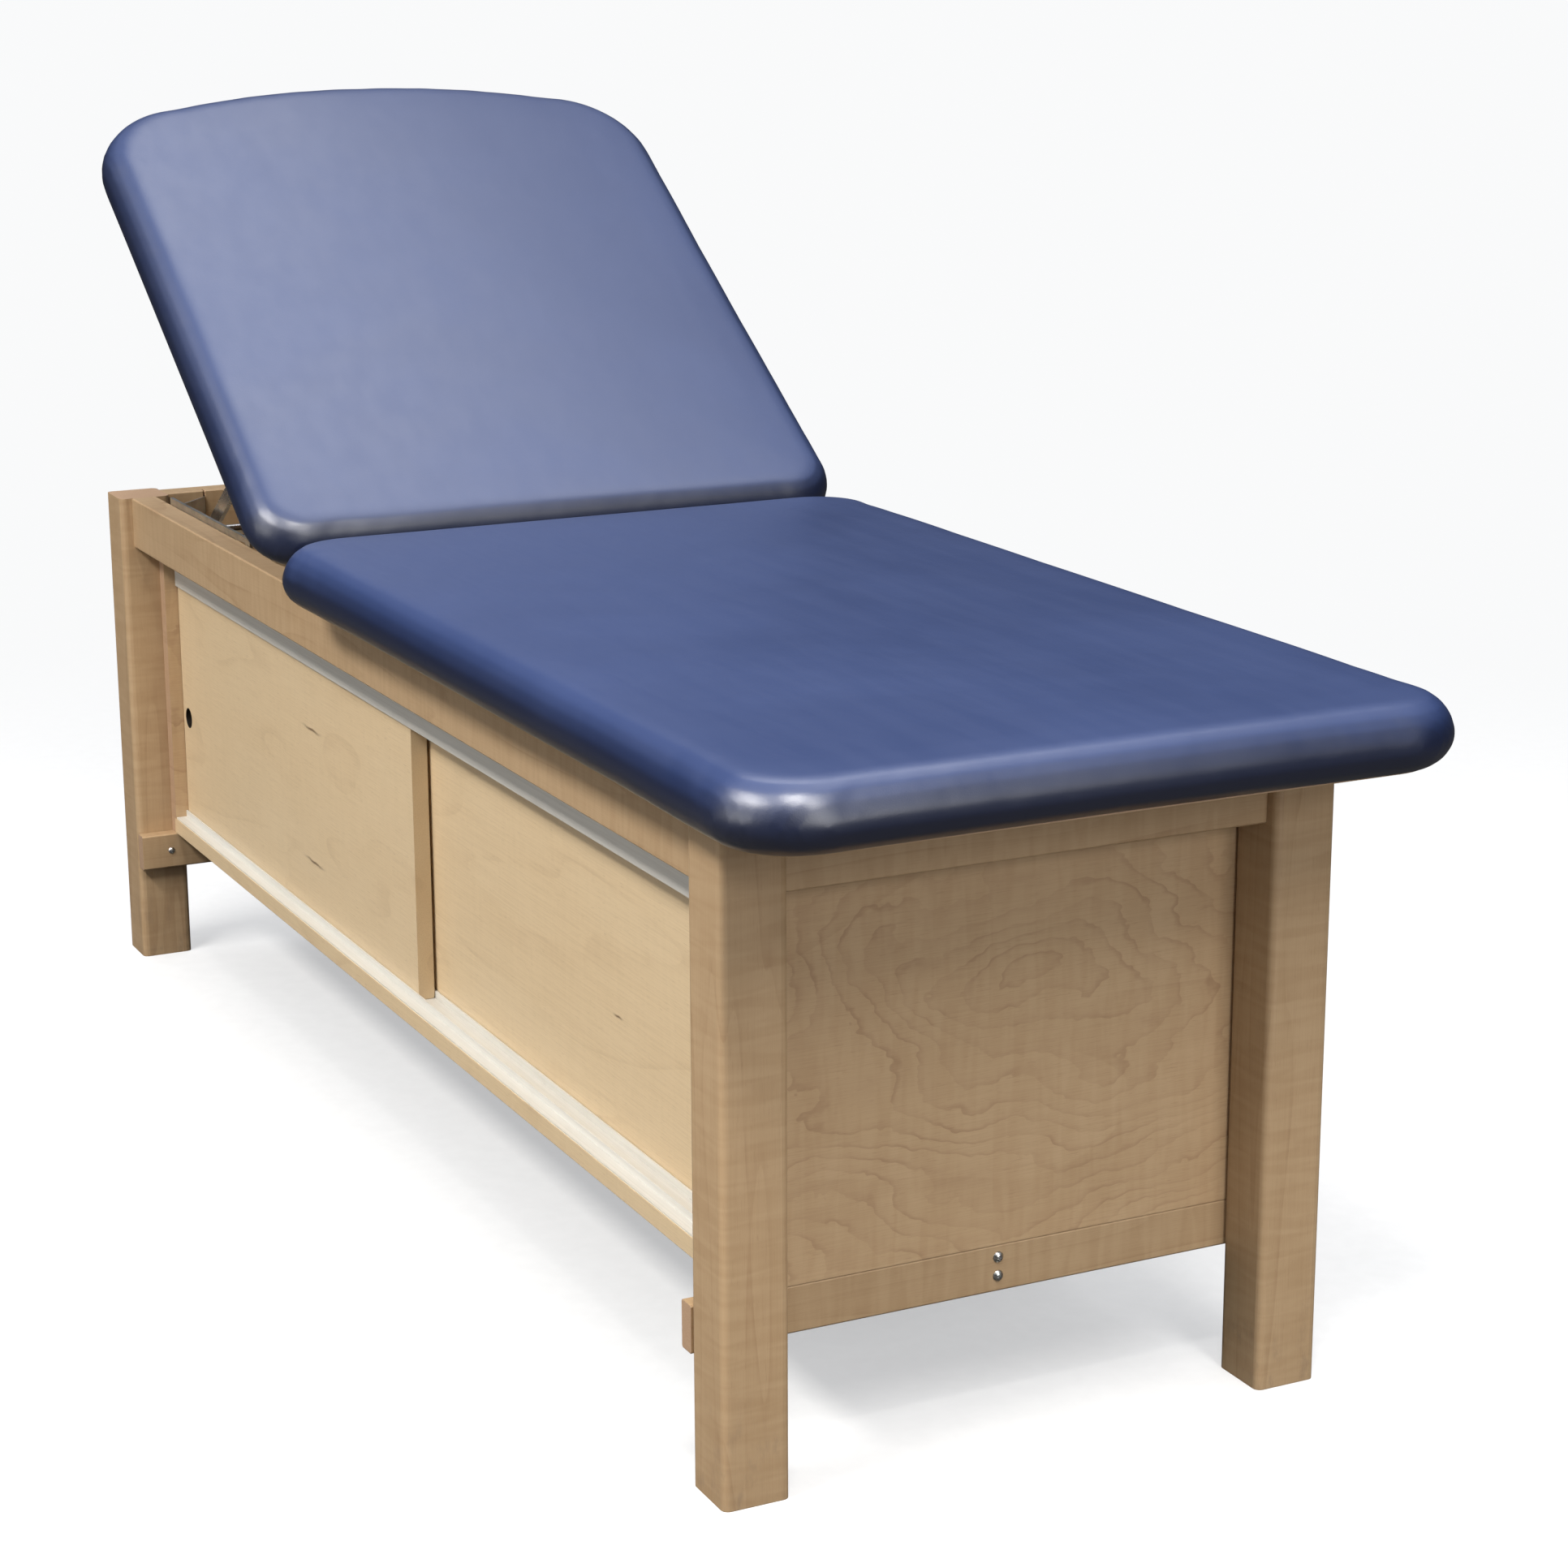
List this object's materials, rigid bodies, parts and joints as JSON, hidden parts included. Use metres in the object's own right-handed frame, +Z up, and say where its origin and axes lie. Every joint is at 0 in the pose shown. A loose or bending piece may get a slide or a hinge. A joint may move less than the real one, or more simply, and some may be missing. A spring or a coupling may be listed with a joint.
{
  "type": "medical exam table",
  "caption": "Wooden exam table with a cabinet under it, sliding doors, a padded vinyl top and a backrest that lifts on a hinge and prop.",
  "frame": {"origin": "On the floor, under the middle of the overall length and width, 80 mm to the foot side of the middle of the legs.", "axes": "+X along the table toward the foot end, +Y away from the sliding doors, +Z up."},
  "size_m": [1.99, 0.72, 1.1148],
  "materials": {
    "maple_solid": "clear satin lacquer",
    "maple_ply": "clear satin lacquer over maple veneer",
    "maple_doors": "clear satin lacquer",
    "track_plastic": "off-white moulded",
    "zinc_plate": "bright zinc plated",
    "zinc_screws": "bright zinc plated",
    "bright_steel": "bright drawn steel",
    "blue_vinyl": "semi-gloss grained vinyl",
    "foam": "open-cell foam",
    "black_rubber": "matt"
  },
  "bodies": {
    "table": {"leg_head_front": "maple_solid", "leg_head_rear": "maple_solid", "leg_foot_front": "maple_solid", "leg_foot_rear": "maple_solid", "side_rail_front": "maple_solid", "side_rail_rear": "maple_solid", "end_rail_head": "maple_solid", "end_rail_foot": "maple_solid", "hinge_cross_rail": "maple_solid", "bottom_rail_head": "maple_solid", "bottom_rail_foot": "maple_solid", "centre_stretcher": "maple_solid", "cabinet_deck": "maple_ply", "cabinet_end_head": "maple_ply", "cabinet_end_foot": "maple_ply", "cabinet_back": "maple_ply", "header_front": "maple_ply", "header_rear": "maple_ply", "seat_platform": "maple_ply", "seat_board": "maple_ply", "lower_track": "track_plastic", "upper_track": "track_plastic", "corner_brackets": "zinc_plate", "corner_bolts": "zinc_plate", "corner_nuts": "zinc_plate", "hinge_leaf_seat": "zinc_plate", "guide_plate_front": "zinc_plate", "guide_plate_rear": "zinc_plate", "leg_screws": "zinc_screws", "stretcher_screws": "zinc_screws", "deck_screws": "zinc_screws", "header_screws": "zinc_screws", "platform_screws": "zinc_screws", "seat_screws": "zinc_screws", "hinge_screws_seat": "zinc_screws", "guide_screws": "zinc_screws", "hinge_pin": "bright_steel", "seat_cover": "blue_vinyl", "seat_foam": "foam", "head_bumpers": "black_rubber"},
    "backrest": {"back_board": "maple_ply", "back_foam": "foam", "back_cover": "blue_vinyl", "hinge_leaf_back": "zinc_plate", "hinge_screws_back": "zinc_screws", "prop_brackets": "zinc_plate", "prop_pins": "bright_steel", "prop_bracket_screws": "zinc_screws"},
    "prop": {"prop_frame": "bright_steel"},
    "door_head": {"door_head": "maple_doors"},
    "door_foot": {"door_foot": "maple_doors"}
  },
  "joints": [
    {"name": "backrest_hinge", "type": "hinge", "parent": "table", "child": "backrest", "pos_m": [-0.218, 0, 0.6195], "axis": [0, 1, 0], "range_deg": [-34, 26]},
    {"name": "prop_swing", "type": "hinge", "parent": "backrest", "child": "prop", "pos_m": [-0.50234, 0, 0.76304], "axis": [0, 1, 0], "range_deg": [-52, 68]},
    {"name": "door_head_slide", "type": "slide", "parent": "table", "child": "door_head", "axis": [1, 0, 0], "range_m": [0, 0.812]},
    {"name": "door_foot_slide", "type": "slide", "parent": "table", "child": "door_foot", "axis": [-1, 0, 0], "range_m": [0, 0.812]}
  ],
  "couplings": [
    {"joint": "prop_swing", "follows": "backrest_hinge", "ratio": -2}
  ]
}
